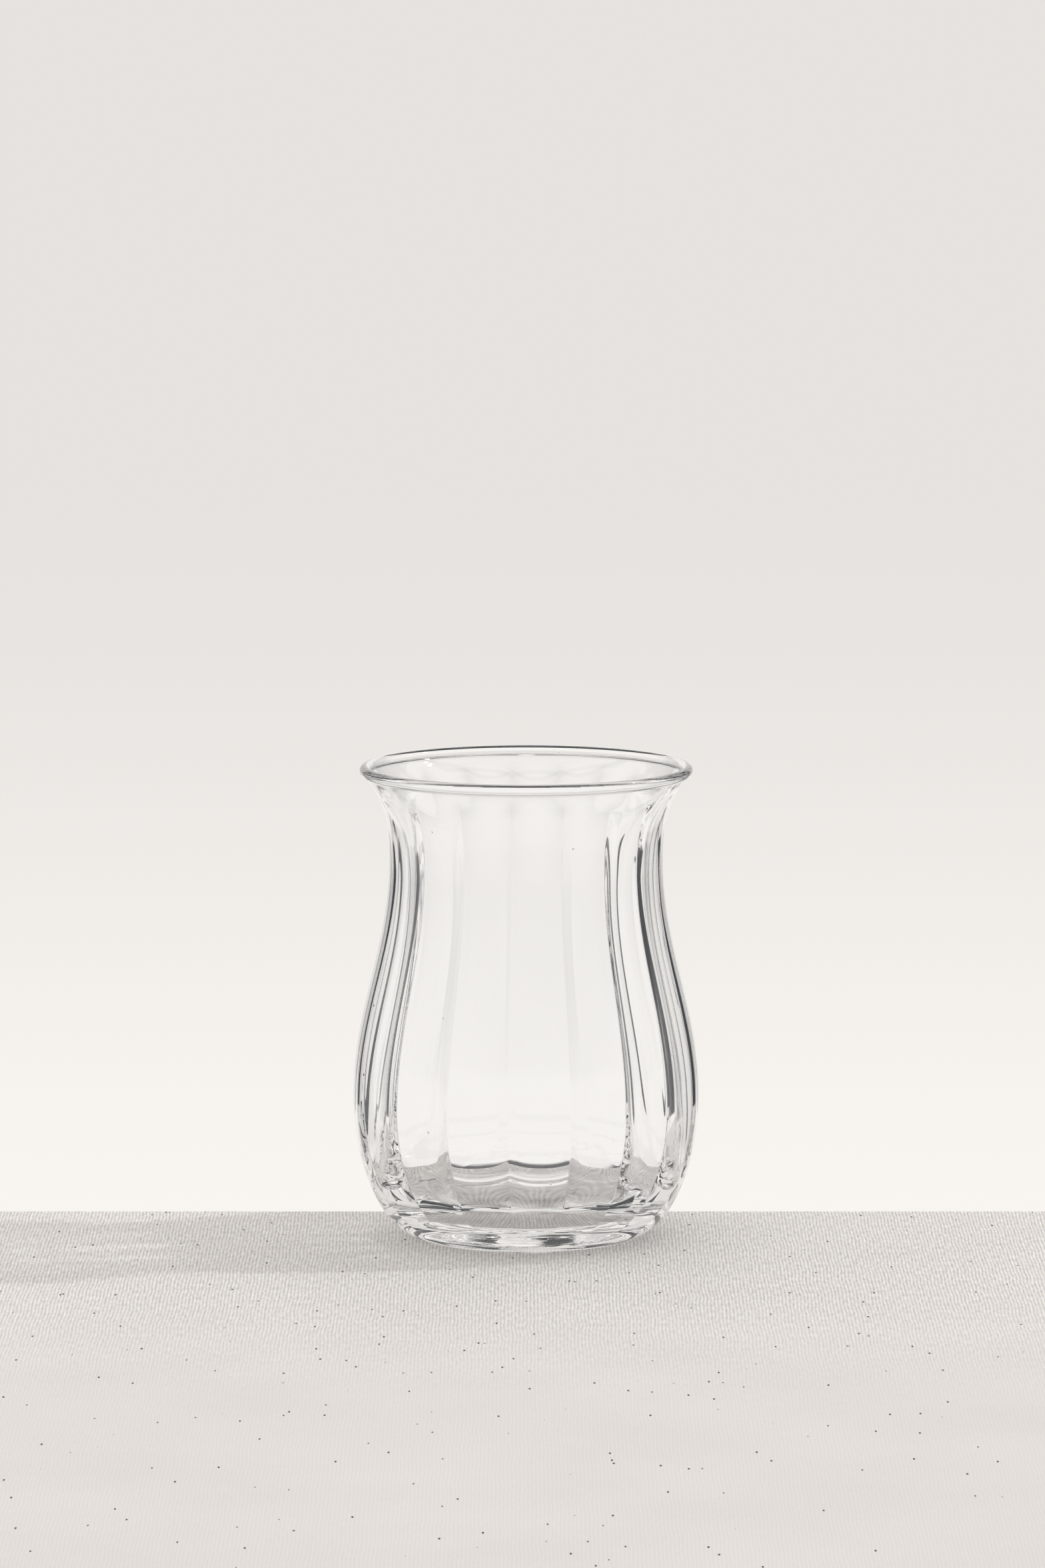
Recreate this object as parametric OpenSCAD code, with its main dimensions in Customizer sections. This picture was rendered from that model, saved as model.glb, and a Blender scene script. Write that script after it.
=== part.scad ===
// A tea glass of clear glass: round and smooth outside, with upright panels inside, a thick base and a beaded lip.
// It stands on the plane z = 0, its axis is Z, and turns are counted from the front (-Y) towards the right (+X).

/* [Outside] */
// Height of the glass over its lip
glass_h = 110; // [90:1:140]
// Width of the foot that touches the table
foot_d = 47; // [40:0.5:56]
// Greatest width of the belly
belly_d = 80.2; // [72:0.2:96]
// Height of the belly's widest place
belly_z = 33; // [26:0.5:40]
// Width at the neck, the narrowest place
neck_d = 63.3; // [56:0.1:68]
// Height of the neck
neck_z = 88; // [76:0.5:94]
// Width of the mouth over its lip
lip_d = 77; // [70:0.5:90]
// How late the mouth flares above the neck: a higher power keeps it upright for longer
flare_power = 2.7; // [2:0.1:3.5]

/* [Lip] */
// Thickness of the melted bead round the lip
bead_d = 2.6; // [2.2:0.1:3]
// Thickness of the wall where it runs into the bead
lip_t = 1.9; // [1.7:0.1:2.1]

/* [Wall] */
// Thickness of the wall in the creases between the panels, where it is thinnest
wall_t = 1.7; // [1.3:0.1:2]
// How far a panel's middle stands in from its creases, where the belly is widest
panel_rise = 1.05; // [0.6:0.05:1.6]

/* [Panels] */
// Number of panels round the inside
panel_count = 18; // [8:1:24]
// Turn of the first crease from the front, in degrees
panel_turn = 35.3; // [0:0.1:60]
// How far hand work has crowded the creases towards one side, in degrees
panel_drift = 5; // [0:0.5:6]
// How suddenly a panel bends into its creases: 2 is an even arc, and more keeps its middle flatter
panel_power = 2.5; // [2:0.1:4]
// Depth below the lip where the creases begin
crease_start = 3.5; // [3:0.5:12]
// Height over which they come up to their full depth
crease_fade = 5; // [2:0.5:12]
// Height over which the wall thins from the panels' middles to the lip
lip_taper = 24; // [12:1:40]
// Height in the bowl above which the panels have their full depth
bowl_full_z = 26; // [16:1:32]
// Height in the bowl where they have died down
bowl_low_z = 6; // [5:0.5:12]
// Share of their depth that is left there and at the floor's edge
floor_share = 0.2; // [0.1:0.05:1]

/* [Base] */
// Thickness of the glass in the middle of the floor, from the table
base_t = 7.5; // [5:0.1:9]
// Width of the flat part of the floor inside
floor_d = 40; // [30:1:44]
// Width of the hollow under the foot
punt_d = 38; // [30:1:38]
// Depth of the hollow under the foot
punt_h = 1; // [0.4:0.1:1.5]

/* [Hidden] */
$fn = 96;

foot_r = foot_d / 2;
belly_r = belly_d / 2;
neck_r = neck_d / 2;
lip_r = lip_d / 2;
bead_r = bead_d / 2;
floor_r = floor_d / 2;
punt_r = punt_d / 2;

// The bead's middle, where the wall runs into it
bead_mid_r = lip_r - bead_r;
bead_mid_z = glass_h - bead_r;
// The wall is centred on the bead, so the bead stands out alike on both sides
seat_r = bead_mid_r + lip_t / 2;

// Steps of the curves: they only set how finely each is drawn
heel_steps = 14;
waist_steps = 14;
flare_steps = 10;
punt_steps = 6;
panel_steps = 5;
floor_steps = 3;

// Outer radius at a height: a quarter ellipse from the foot to the belly, half a cosine wave from the belly to the
// neck, and a rising power from the neck to the lip.
function heel_r(z) = foot_r + (belly_r - foot_r) * sqrt(max(0, 1 - pow(1 - z / belly_z, 2)));
function waist_r(z) =
    (belly_r + neck_r) / 2 + (belly_r - neck_r) / 2 * cos(180 * (z - belly_z) / (neck_z - belly_z));
function flare_r(z) = neck_r + (seat_r - neck_r) * pow((z - neck_z) / (bead_mid_z - neck_z), flare_power);
function outer_r(z) = z < belly_z ? heel_r(z) : z < neck_z ? waist_r(z) : flare_r(z);

// Heights of the wall from the belly up to the bead's middle, even within each curve
wall_heights = [
    for (i = [0 : waist_steps]) belly_z + (neck_z - belly_z) * i / waist_steps,
    for (i = [1 : flare_steps]) neck_z + (bead_mid_z - neck_z) * i / flare_steps
];

// Outline of the glass without its hollow: under the foot, round the heel, up the wall, and back to the axis
punt_line = [for (i = [0 : punt_steps]) let (t = i / punt_steps) [punt_r * t, punt_h * pow(1 - t * t, 2)]];
heel_line = [
    for (i = [0 : heel_steps]) let (a = 90 * i / heel_steps)
        [foot_r + (belly_r - foot_r) * sin(a), belly_z * (1 - cos(a))]
];
wall_line = [for (z = wall_heights) if (z > belly_z) [outer_r(z), z]];

// 0 up to a start, 1 past an end, and a smooth rise between the two
function smooth_step(start, end, v) = let (t = min(1, max(0, (v - start) / (end - start)))) t * t * (3 - 2 * t);

// How far the panels' middles stand in at a height: in step with the radius, and less where the wall thins to the lip
function wall_rise(z, r) =
    let (full = panel_rise * r / belly_r, thinned = smooth_step(bead_mid_z - lip_taper, bead_mid_z, z))
        full + (lip_t - wall_t - full) * thinned;
// Share of the creases' full depth at a height: none at the lip, all of it below the fade
function crease_depth_share(z) =
    let (top = glass_h - crease_start) 1 - smooth_step(top - crease_fade, top, z);

// One ring of the hollow: its radius in full creases, its height, how far the panels' middles stand in from there,
// and the share of that depth that its creases have
function ring(r, z, rise, share) = [r, z, rise, share];

wall_rings = [
    for (i = [len(wall_heights) - 1 : -1 : 0]) let (z = wall_heights[i], r = outer_r(z))
        ring(r - wall_t, z, wall_rise(z, r), crease_depth_share(z))
];
// Above the bead's middle the hollow only has to clear the top of the wall
mouth_ring = ring(seat_r - lip_t, bead_mid_z + bead_r, 0, 0);
bowl_r = belly_r - wall_t;
// In the bowl the panels' depth goes with the radius too, and dies down towards the floor
function bowl_rise(z, r) =
    panel_rise * r / bowl_r * (floor_share + (1 - floor_share) * smooth_step(bowl_low_z, bowl_full_z, z));
bowl_rings = [
    for (i = [heel_steps - 1 : -1 : 0])
        let (a = 90 * i / heel_steps, r = floor_r + (bowl_r - floor_r) * sin(a))
        let (z = belly_z - (belly_z - base_t) * cos(a))
            ring(r, z, bowl_rise(z, r), 1)
];
// Across the floor what is left of them runs out towards the middle
floor_rings = [
    for (i = [floor_steps : -1 : 1]) let (t = i / (floor_steps + 1))
        ring(floor_r * t, base_t, pow(t, 3) * bowl_rise(base_t, floor_r), 1)
];
hollow_rings = concat([mouth_ring], wall_rings, bowl_rings, floor_rings);

// Turn of a crease, or of a place between two, counted in panels: even steps that crowd a little towards one side
function panel_angle(s) =
    let (even = 360 * s / panel_count) panel_turn + even + panel_drift * (cos(even) - 1);
// A panel is a shallow arc: this is 1 in its creases and 0 in its middle
function crease_share(s) = let (off = abs(s - round(s))) pow(max(0, 1 - 2 * off), panel_power);

side_steps = panel_count * panel_steps;
function ring_points(q) = [
    for (j = [0 : side_steps - 1])
        let (s = j / panel_steps, a = panel_angle(s), r = q[0] - q[2] * (1 - q[3] * crease_share(s)))
            [r * sin(a), -r * cos(a), q[1]]
];

// Cavity of the glass: rings of points from the mouth down, closed by a cap above and the floor's middle below
module hollow() {
    last = len(hollow_rings) - 1;
    points = concat(
        [for (q = hollow_rings) each ring_points(q)],
        [[0, 0, mouth_ring[1]], [0, 0, base_t]]
    );
    cap = len(points) - 2;
    middle = len(points) - 1;
    faces = concat(
        [for (j = [0 : side_steps - 1]) [cap, (j + 1) % side_steps, j]],
        [for (i = [0 : last - 1], j = [0 : side_steps - 1])
            let (a = i * side_steps, k = (j + 1) % side_steps) each [
                [a + j, a + k, a + side_steps + k],
                [a + j, a + side_steps + k, a + side_steps + j]
            ]],
        [for (j = [0 : side_steps - 1])
            [middle, last * side_steps + j, last * side_steps + (j + 1) % side_steps]]
    );
    polyhedron(points, faces, convexity = 6);
}

module solid_shape() {
    rotate_extrude()
        polygon(concat(punt_line, heel_line, wall_line, [[0, bead_mid_z]]));
}

module bead() {
    rotate_extrude()
        translate([bead_mid_r, bead_mid_z])
            circle(r = bead_r);
}

module glass() {
    color([0.86, 0.93, 0.94, 0.4])
        union() {
            difference() {
                solid_shape();
                hollow();
            }
            bead();
        }
}

glass();
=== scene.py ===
import math

import bpy
import numpy as np
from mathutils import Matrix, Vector


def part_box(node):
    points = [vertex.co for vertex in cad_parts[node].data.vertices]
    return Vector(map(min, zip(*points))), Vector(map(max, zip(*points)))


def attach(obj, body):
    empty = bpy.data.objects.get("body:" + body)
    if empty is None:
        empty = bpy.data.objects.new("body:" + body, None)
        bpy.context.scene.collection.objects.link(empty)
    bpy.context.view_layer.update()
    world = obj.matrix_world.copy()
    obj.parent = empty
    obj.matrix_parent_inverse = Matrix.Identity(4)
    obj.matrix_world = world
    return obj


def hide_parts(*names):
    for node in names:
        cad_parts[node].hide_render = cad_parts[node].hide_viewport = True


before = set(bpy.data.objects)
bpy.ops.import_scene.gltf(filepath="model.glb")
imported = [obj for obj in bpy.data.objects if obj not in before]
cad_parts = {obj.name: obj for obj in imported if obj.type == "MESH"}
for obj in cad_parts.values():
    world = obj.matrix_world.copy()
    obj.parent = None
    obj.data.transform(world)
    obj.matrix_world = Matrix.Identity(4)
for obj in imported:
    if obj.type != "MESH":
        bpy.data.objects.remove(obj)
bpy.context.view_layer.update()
scene = bpy.context.scene

# The vessel is one gather of clear soda-lime glass, blown into a mould that presses upright panels into its
# inside, while its outside stays round and smooth. The mouth is flared and its cut lip is melted back into a
# round bead, and the foot is a thick slab with a shallow hollow under it.
glass_low, glass_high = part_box("glass")
glass_h = glass_high.z
belly_r = (glass_high.x - glass_low.x) / 2
foot_r = 0.0235
belly_z = 0.033
neck_r, neck_z = 0.03165, 0.088
lip_r, flare_power = 0.0385, 2.7
bead_r = 0.0013
wall_t, lip_t = 0.0017, 0.0019
panel_count, panel_rise, panel_power = 18, 0.00105, 2.5
panel_turn, panel_drift = math.radians(35.3), math.radians(5)
crease_start, crease_fade, lip_taper = 0.0035, 0.005, 0.024
bowl_low_z, bowl_full_z, floor_share = 0.006, 0.026, 0.2
base_t, floor_r = 0.0075, 0.02
punt_r, punt_h, foot_lift = 0.019, 0.001, 0.0003
swell_inside, swell_outside = 0.00007, 0.00003
bead_mid_r, bead_mid_z = lip_r - bead_r, glass_h - bead_r
seat_r = bead_mid_r + lip_t / 2


def smooth_step(v, start, end):
    """0 up to start and 1 past end; between them 3 t^2 - 2 t^3, where t is the share of the way."""
    t = np.clip((v - start) / (end - start), 0, 1)
    return t * t * (3 - 2 * t)


def outer_radius(z):
    """Quarter ellipse from the foot to the belly, half a cosine wave to the neck, rising power to the lip."""
    heel = foot_r + (belly_r - foot_r) * np.sqrt(np.clip(1 - (1 - z / belly_z) ** 2, 0, 1))
    wave = np.cos(np.pi * (z - belly_z) / (neck_z - belly_z))
    waist = (belly_r + neck_r) / 2 + (belly_r - neck_r) / 2 * wave
    climb = np.clip(z - neck_z, 0, None) / (bead_mid_z - neck_z)
    flare = neck_r + (seat_r - neck_r) * climb**flare_power
    return np.where(z < belly_z, heel, np.where(z < neck_z, waist, flare))


def wall_rise(z):
    """How far a panel's middle stands in from its creases: in step with the radius, thinned to the lip."""
    full = panel_rise * outer_radius(z) / belly_r
    return full + (lip_t - wall_t - full) * smooth_step(z, bead_mid_z - lip_taper, bead_mid_z)


def lip_outline(join_z, step=0.00004, blur=0.00022):
    """Up the outer wall from join_z, round the bead's circle and down the inner wall, as points a step apart,
    then averaged along the line with a bell curve, so that the bead swells out of the wall with no corner."""
    z = np.linspace(join_z - 6 * blur, bead_mid_z, 400)
    outer = np.stack([outer_radius(z), z], 1)
    inner = np.stack([outer_radius(z) - wall_t - wall_rise(z), z], 1)
    a = np.linspace(-np.pi / 2, 3 * np.pi / 2, 800)
    circle = np.stack([bead_mid_r + bead_r * np.cos(a), bead_mid_z + bead_r * np.sin(a)], 1)
    middle = np.array([bead_mid_r, bead_mid_z])
    clear_outer = outer[np.hypot(*(outer - middle).T) > bead_r]
    clear_inner = inner[np.hypot(*(inner - middle).T) > bead_r]
    start = np.argmin(np.hypot(*(circle[:400] - clear_outer[-1]).T))
    end = 400 + np.argmin(np.hypot(*(circle[400:] - clear_inner[-1]).T))
    line = np.concatenate([clear_outer, circle[start:end], clear_inner[::-1]])
    far = np.concatenate([[0], np.cumsum(np.hypot(*np.diff(line, axis=0).T))])
    even = np.arange(0, far[-1], step)
    line = np.stack([np.interp(even, far, line[:, k]) for k in (0, 1)], 1)
    reach = int(4 * blur / step)
    bell = np.exp(-0.5 * (np.arange(-reach, reach + 1) * step / blur) ** 2)
    soft = np.stack([np.convolve(line[:, k], bell / bell.sum(), "valid") for k in (0, 1)], 1)
    return soft[soft[:, 1] > join_z]


def panel_angles(columns_a_panel=22, crowding=0.86):
    """Turns of the columns, and how far each is from the nearest crease in panels. They crowd towards the
    creases, and the creases themselves crowd towards one side of the glass, as hand work leaves them."""
    t = np.arange(panel_count * columns_a_panel) / columns_a_panel
    s = t - crowding * np.sin(2 * np.pi * t) / (2 * np.pi)
    even = 2 * np.pi * s / panel_count
    return panel_turn + even + panel_drift * (np.cos(even) - 1), np.abs(s - np.round(s))


def vessel_rings(off):
    """Radius and height of each ring at each column: out under the foot, up the outside, over the bead,
    down the inside and in across the floor. A panel is a shallow arc, 1 in its creases and 0 in its middle,
    and the creases are rounded by sharpness."""
    sharpness = 0.015
    near = np.sqrt(off**2 + sharpness**2) - sharpness
    crease = (1 - 2 * near) ** panel_power
    join_z = glass_h - crease_start
    r = np.concatenate([np.linspace(0.1 * punt_r, punt_r, 11), np.linspace(punt_r, foot_r, 5)[1:-1]])
    punt = punt_h * np.clip(1 - (r / punt_r) ** 2, 0, 1) ** 2
    under = np.stack([r, punt + foot_lift * (1 - (r / foot_r) ** 2)], 1)
    a = np.linspace(0, np.pi / 2, 38)
    heel = np.stack([foot_r + (belly_r - foot_r) * np.sin(a), belly_z * (1 - np.cos(a))], 1)
    z = np.linspace(belly_z, join_z, 46)[1:]
    wall = np.stack([outer_radius(z), z], 1)
    lip = lip_outline(join_z)
    lip = lip[np.linspace(0, len(lip) - 1, 30).astype(int)]
    outside = np.concatenate([under, heel, wall, lip])
    z_in = np.linspace(join_z, belly_z, 72)[1:]
    r_in = outer_radius(z_in) - wall_t
    deep = 1 - smooth_step(z_in, join_z - crease_fade, join_z)
    bowl_r = belly_r - wall_t
    b = np.linspace(np.pi / 2, 0, 42)[1:]
    r_bowl = floor_r + (bowl_r - floor_r) * np.sin(b)
    z_bowl = belly_z - (belly_z - base_t) * np.cos(b)
    f = np.linspace(1, 0.1, 9)[1:]
    r_all = np.concatenate([r_in, r_bowl, floor_r * f])
    z_all = np.concatenate([z_in, z_bowl, np.full(len(f), base_t)])
    kept = floor_share + (1 - floor_share) * smooth_step(z_bowl, bowl_low_z, bowl_full_z)
    bowl_rise = panel_rise * r_bowl / bowl_r * kept
    rise = np.concatenate([wall_rise(z_in), bowl_rise, f**3 * bowl_rise[-1]])
    deep = np.concatenate([deep, np.ones(len(b) + len(f))])
    inside = r_all[:, None] - rise[:, None] * (1 - deep[:, None] * crease)
    radius = np.concatenate([np.repeat(outside[:, :1], len(off), 1), inside])
    height = np.concatenate([outside[:, 1], z_all])
    return radius, np.repeat(height[:, None], len(off), 1), len(outside)


def hand_waves(turn, height, size, seed):
    """Slow swells of a hand-worked surface: a few cosine waves round and up the glass, with seeded phases."""
    rng = np.random.default_rng(seed)
    total = np.zeros(height.shape)
    for around, up in ((2, 40), (3, 70), (5, 55), (7, 110), (9, 30)):
        phase = rng.uniform(0, 2 * np.pi, 2)
        total += np.cos(around * turn + phase[0]) * np.cos(up * height + phase[1]) / 5
    return size * total


def vessel_mesh():
    """Joins the rings into one closed skin, with fans of triangles over the foot's and the floor's middle."""
    turn, off = panel_angles()
    radius, height, outside_count = vessel_rings(off)
    inside = (np.arange(len(radius)) >= outside_count)[:, None]
    below_lip = smooth_step(glass_h - height, crease_start, 4 * crease_start)
    swell_share = below_lip * smooth_step(height, 0, belly_z)
    within = hand_waves(turn, height, swell_inside, 3)
    without = hand_waves(turn, height, swell_outside, 8) - swell_outside
    radius = radius + swell_share * np.where(inside, within, without)
    x, y = radius * np.sin(turn), -radius * np.cos(turn)
    rings = np.stack([x, y, height], 2)
    count, columns = radius.shape
    poles = [[0, 0, punt_h + foot_lift], [0, 0, base_t]]
    points = np.concatenate([rings.reshape(-1, 3), poles])
    i, j = np.meshgrid(np.arange(count - 1), np.arange(columns), indexing="ij")
    k = (j + 1) % columns
    here, beyond = i * columns, (i + 1) * columns
    quads = np.stack([here + j, here + k, beyond + k, beyond + j], 2).reshape(-1, 4)
    one, two = np.arange(columns), (np.arange(columns) + 1) % columns
    last = (count - 1) * columns
    foot_fan = np.stack([np.full(columns, count * columns), two, one], 1)
    floor_fan = np.stack([np.full(columns, count * columns + 1), last + one, last + two], 1)
    mesh = bpy.data.meshes.new("tea_glass")
    mesh.from_pydata(points.tolist(), [], quads.tolist() + foot_fan.tolist() + floor_fan.tolist())
    mesh.polygons.foreach_set("use_smooth", np.ones(len(mesh.polygons), bool))
    mesh.update()
    return mesh


tea_glass = bpy.data.objects.new("tea_glass", vessel_mesh())
scene.collection.objects.link(tea_glass)
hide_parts("glass")
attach(tea_glass, "root")


class Wire:
    """A shader socket as a number to reckon with: each operator adds the Math node that works it out."""

    def __init__(self, tree, socket=None):
        self.tree, self.socket = tree, socket

    def node(self, kind, settings=None, sockets=None, out=0):
        """Adds a node of a kind, sets it, fills its sockets with values or links, and gives one output."""
        made = self.tree.nodes.new(kind)
        for name, value in (settings or {}).items():
            setattr(made, name, value)
        for name, value in (sockets or {}).items():
            if isinstance(value, Wire):
                self.tree.links.new(value.socket, made.inputs[name])
            else:
                made.inputs[name].default_value = value
        return Wire(self.tree, made.outputs[out] if made.outputs else None)

    def maths(self, operation, first, second=0.0):
        """A Math node of one operation on two numbers or sockets."""
        return self.node("ShaderNodeMath", {"operation": operation}, {0: first, 1: second})

    def __add__(self, other):
        return self.maths("ADD", self, other)

    def __sub__(self, other):
        return self.maths("SUBTRACT", self, other)

    def __rsub__(self, other):
        return self.maths("SUBTRACT", other, self)

    def __mul__(self, other):
        return self.maths("MULTIPLY", self, other)

    def step(self, start, end, low=0.0, high=1.0):
        """A smooth step from low at start to high at end."""
        ends = {"Value": self, "From Min": start, "From Max": end, "To Min": low, "To Max": high}
        return self.node("ShaderNodeMapRange", {"interpolation_type": "SMOOTHSTEP"}, ends)

    __radd__ = __add__
    __rmul__ = __mul__


glass_look = bpy.data.materials.new("clear_glass")
glass_look.use_nodes = True
glass_shader = glass_look.node_tree.nodes["Principled BSDF"]
glass_shader.inputs["Base Color"].default_value = (0.994, 0.998, 1.0, 1)
glass_shader.inputs["IOR"].default_value = 1.52
glass_shader.inputs["Transmission Weight"].default_value = 1.0
seeds_a_metre, rubs_a_metre = 90.0, 45.0
relief_depth, dullest = 0.00015, 0.04
melt = Wire(glass_look.node_tree)
spot = melt.node("ShaderNodeTexCoord", out="Object")
seed = melt.node("ShaderNodeTexVoronoi", {}, {"Vector": spot, "Scale": seeds_a_metre}, "Distance")
rubbed = melt.node("ShaderNodeTexNoise", {}, {"Vector": spot, "Scale": rubs_a_metre, "Detail": 1.0}, "Fac")
surface = seed.step(0.008, 0.03) + rubbed * 0.03
relief = melt.node("ShaderNodeBump", {}, {"Strength": 1.0, "Distance": relief_depth, "Height": surface})
melt.tree.links.new(relief.socket, glass_shader.inputs["Normal"])
dull = rubbed.step(0.62, 0.80, 0.0, dullest)
melt.tree.links.new(dull.socket, glass_shader.inputs["Roughness"])
tea_glass.data.materials.append(glass_look)

# The floor is a slab laid with undyed cotton canvas, woven plain and left with its husks in. Its cut far edge
# is close behind the glass.
floor_far, floor_near, floor_side, floor_deep = 0.032, -2.4, 2.0, 0.6
edge_r = 0.003
fluff_size, fluffy_side = 0.0003, 0.16


def floor_mesh():
    """A block whose top is the plane z = 0. Its far upper edge is a quarter circle, which stands up and down
    by a running average of seeded noise, as the fluff of a cut cloth does."""
    a = np.linspace(0, np.pi / 2, 9)
    y = np.concatenate([[floor_near, floor_near], floor_far - edge_r + edge_r * np.sin(a), [floor_far]])
    z = np.concatenate([[-floor_deep, 0], edge_r * np.cos(a) - edge_r, [-floor_deep]])
    count = len(y)
    x = np.concatenate([[-floor_side], np.linspace(-fluffy_side, fluffy_side, 801), [floor_side]])
    noise = np.random.default_rng(5).normal(0, fluff_size, len(x) + 2)
    fluff = np.convolve(noise, np.ones(3) / 3, "valid")
    fluff[[0, -1]] = 0
    rows = np.zeros((len(x), count, 3))
    rows[:, :, 0], rows[:, :, 1], rows[:, :, 2] = x[:, None], y, z
    rows[:, 5:8, 2] += fluff[:, None] * np.array([0.5, 1.0, 0.7])
    i, j = np.meshgrid(np.arange(len(x) - 1), np.arange(count), indexing="ij")
    k = (j + 1) % count
    here, beyond = i * count, (i + 1) * count
    sides = np.stack([here + j, beyond + j, beyond + k, here + k], 2).reshape(-1, 4)
    ends = [tuple(range(count)), tuple(range(len(x) * count - 1, (len(x) - 1) * count - 1, -1))]
    mesh = bpy.data.meshes.new("canvas_floor")
    mesh.from_pydata(rows.reshape(-1, 3).tolist(), [], sides.tolist() + ends)
    mesh.update()
    return mesh


canvas_floor = bpy.data.objects.new("canvas_floor", floor_mesh())
scene.collection.objects.link(canvas_floor)

canvas = bpy.data.materials.new("canvas")
canvas.use_nodes = True
canvas_shader = canvas.node_tree.nodes["Principled BSDF"]
canvas_shader.inputs["Roughness"].default_value = 0.95
canvas_shader.inputs["Specular IOR Level"].default_value = 0.2
thread_pitch = 0.0008
warp_wander, weft_wander = 0.0010, 0.0014
cloth_white, warp_relief, weft_relief, fuzz_relief, blot_relief = 0.83, 0.13, 0.03, 0.6, 0.08
cloth = Wire(canvas.node_tree)
place = cloth.node("ShaderNodeTexCoord", out="Object")
across, back_y, drop = (cloth.node("ShaderNodeSeparateXYZ", {}, {0: place}, axis) for axis in "XYZ")
along = back_y - drop
wander = cloth.node("ShaderNodeTexNoise", {}, {"Vector": place, "Scale": 60.0, "Detail": 1.0}, "Fac")
warp = cloth.maths("SINE", (across + wander * warp_wander) * (2 * math.pi / thread_pitch))
weft = cloth.maths("SINE", (along + wander * weft_wander) * (2 * math.pi / thread_pitch))
hairs = cloth.node("ShaderNodeCombineXYZ", {}, {0: across * 1500, 1: along * 260})
fuzz = cloth.node("ShaderNodeTexNoise", {}, {"Vector": hairs, "Scale": 1.0, "Detail": 2.0}, "Fac")
blots = cloth.node("ShaderNodeTexNoise", {}, {"Vector": place, "Scale": 22.0, "Detail": 2.0}, "Fac")
worn = along.step(-0.20, -0.05, 0.08, 1.0)
threads = warp * warp_relief + weft * weft_relief + (fuzz - 0.5) * fuzz_relief
shade = cloth_white + threads * worn + (blots - 0.5) * blot_relief
husks = cloth.node("ShaderNodeCombineXYZ", {}, {0: across * 300, 1: along * 80})
fleck = cloth.node("ShaderNodeTexVoronoi", {}, {"Vector": husks, "Scale": 1.0}, "Distance")
shade = shade * fleck.step(0.05, 0.09, 0.15, 1.0)
tint = cloth.node("ShaderNodeCombineColor", {}, {0: shade, 1: shade * 0.97, 2: shade * 0.955})
canvas.node_tree.links.new(tint.socket, canvas_shader.inputs["Base Color"])
weave = cloth.node("ShaderNodeBump", {}, {"Strength": 0.3, "Distance": 0.00005, "Height": warp + weft})
canvas.node_tree.links.new(weave.socket, canvas_shader.inputs["Normal"])
canvas_floor.data.materials.append(canvas)

# The light is one soft lamp from the right and a little behind, and a pale room. The camera sees the same
# room as the glass bends and mirrors: a pale backdrop, with a dark screen on either side of the picture, dark
# ground far below and two dark bands high up, which draw the glass's edges, and grey on the camera's side.
lamp_turn, lamp_up = math.radians(11), math.radians(43)
towards_lamp = Vector((
    math.cos(lamp_up) * math.cos(lamp_turn),
    math.cos(lamp_up) * math.sin(lamp_turn),
    math.sin(lamp_up),
))
lamp = bpy.data.lights.new("lamp", "SUN")
lamp.energy = 0.65
lamp.angle = math.radians(3)
lamp.cycles.is_caustics_light = True
tea_glass.cycles.is_caustics_caster = True
canvas_floor.cycles.is_caustics_receiver = True
lamp_holder = bpy.data.objects.new("lamp", lamp)
lamp_holder.rotation_euler = towards_lamp.to_track_quat("Z", "Y").to_euler()
scene.collection.objects.link(lamp_holder)

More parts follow.
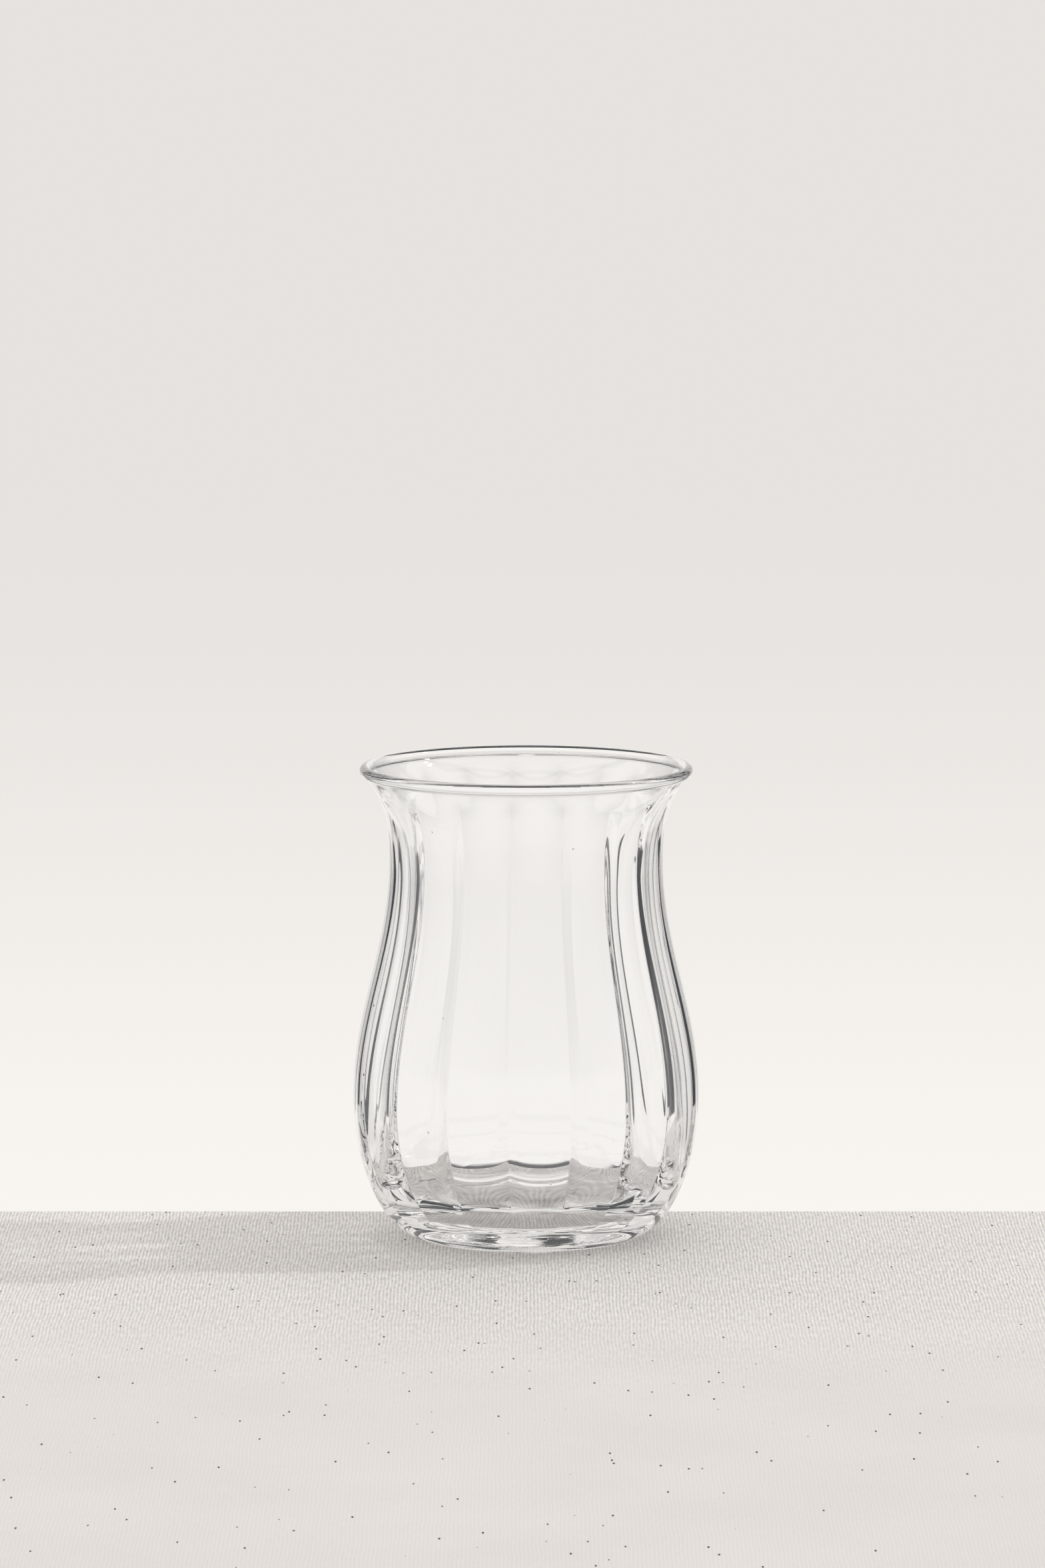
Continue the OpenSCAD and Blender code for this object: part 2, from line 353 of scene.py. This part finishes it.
room = bpy.data.worlds.new("room")
scene.world = room
room.use_nodes = True
room.node_tree.nodes.clear()
air = Wire(room.node_tree)
direction = air.node("ShaderNodeTexCoord", out="Generated")
right, back, up = (air.node("ShaderNodeSeparateXYZ", {}, {0: direction}, axis) for axis in "XYZ")
turn_back = air.maths("ARCTAN2", air.maths("ABSOLUTE", right), back) * (180 / math.pi)
climb = air.maths("ARCSINE", up) * (180 / math.pi)
screen_near, screen_far, screen_foot, screen_skew = 23.3, 57, -18, 1.6
askew = air.maths("SIGN", right) * screen_skew
inner_side = (turn_back + askew).step(screen_near, screen_near + 0.5)
screens = inner_side * turn_back.step(screen_far, screen_far + 1, 1.0, 0.0)
screen = screens * climb.step(screen_foot, screen_foot + 3)
gap = turn_back.step(38, 41) * turn_back.step(56, 59, 1.0, 0.0)
pit = climb.step(-33.5, -31, 1.0, 0.0) * (1 - gap)
lower_band = climb.step(22, 24) * climb.step(27, 29, 1.0, 0.0)
upper_band = climb.step(43, 44) * climb.step(47, 48, 1.0, 0.0)
ceiling = lower_band + upper_band
grey_room = turn_back.step(130, 160)
wall_low, wall_high, grey = 0.95, 0.79, 0.78
far_wall = climb.step(-11, -5, wall_low, wall_high)
seen = far_wall + (grey - far_wall) * grey_room + climb.step(30, 50, 0.0, 0.2)
black = 0.97
seen = seen * (1 - screen * black) * (1 - ceiling * black) * (1 - pit * black)
shown = air.node("ShaderNodeLightPath", out="Is Camera Ray")
for kind in ("Is Glossy Ray", "Is Transmission Ray"):
    shown = air.maths("MAXIMUM", shown, air.node("ShaderNodeLightPath", out=kind))
ambient = 0.8
level = ambient + (seen - ambient) * shown
warm_white = {0: level, 1: level * 0.966 + 0.006, 2: level * 0.923 + 0.012}
air_tint = air.node("ShaderNodeCombineColor", {}, warm_white)
light_out = air.node("ShaderNodeBackground", {}, {"Color": air_tint, "Strength": 1.0})
air.node("ShaderNodeOutputWorld", {}, {"Surface": light_out})

# The camera stands where the picture was taken from: a long lens, 1.8 m away and looking down a little.
frame_h = 2352
focal_px = 11900
tilt = math.radians(7.2)
camera_data = bpy.data.cameras.new("camera")
camera_data.sensor_fit = "AUTO"
camera_data.sensor_width = 36.0
camera_data.lens = focal_px / frame_h * camera_data.sensor_width
camera_data.clip_start, camera_data.clip_end = 0.05, 50
camera = bpy.data.objects.new("camera", camera_data)
camera_aside, camera_back, camera_up = -0.00085, -1.817, 0.335
camera.location = (camera_aside, camera_back, camera_up)
camera.rotation_euler = (math.pi / 2 - tilt, 0, 0)
scene.collection.objects.link(camera)
scene.camera = camera

scene.view_settings.view_transform = "Standard"
scene.cycles.max_bounces = 40
scene.cycles.glossy_bounces = 40
scene.cycles.transmission_bounces = 40
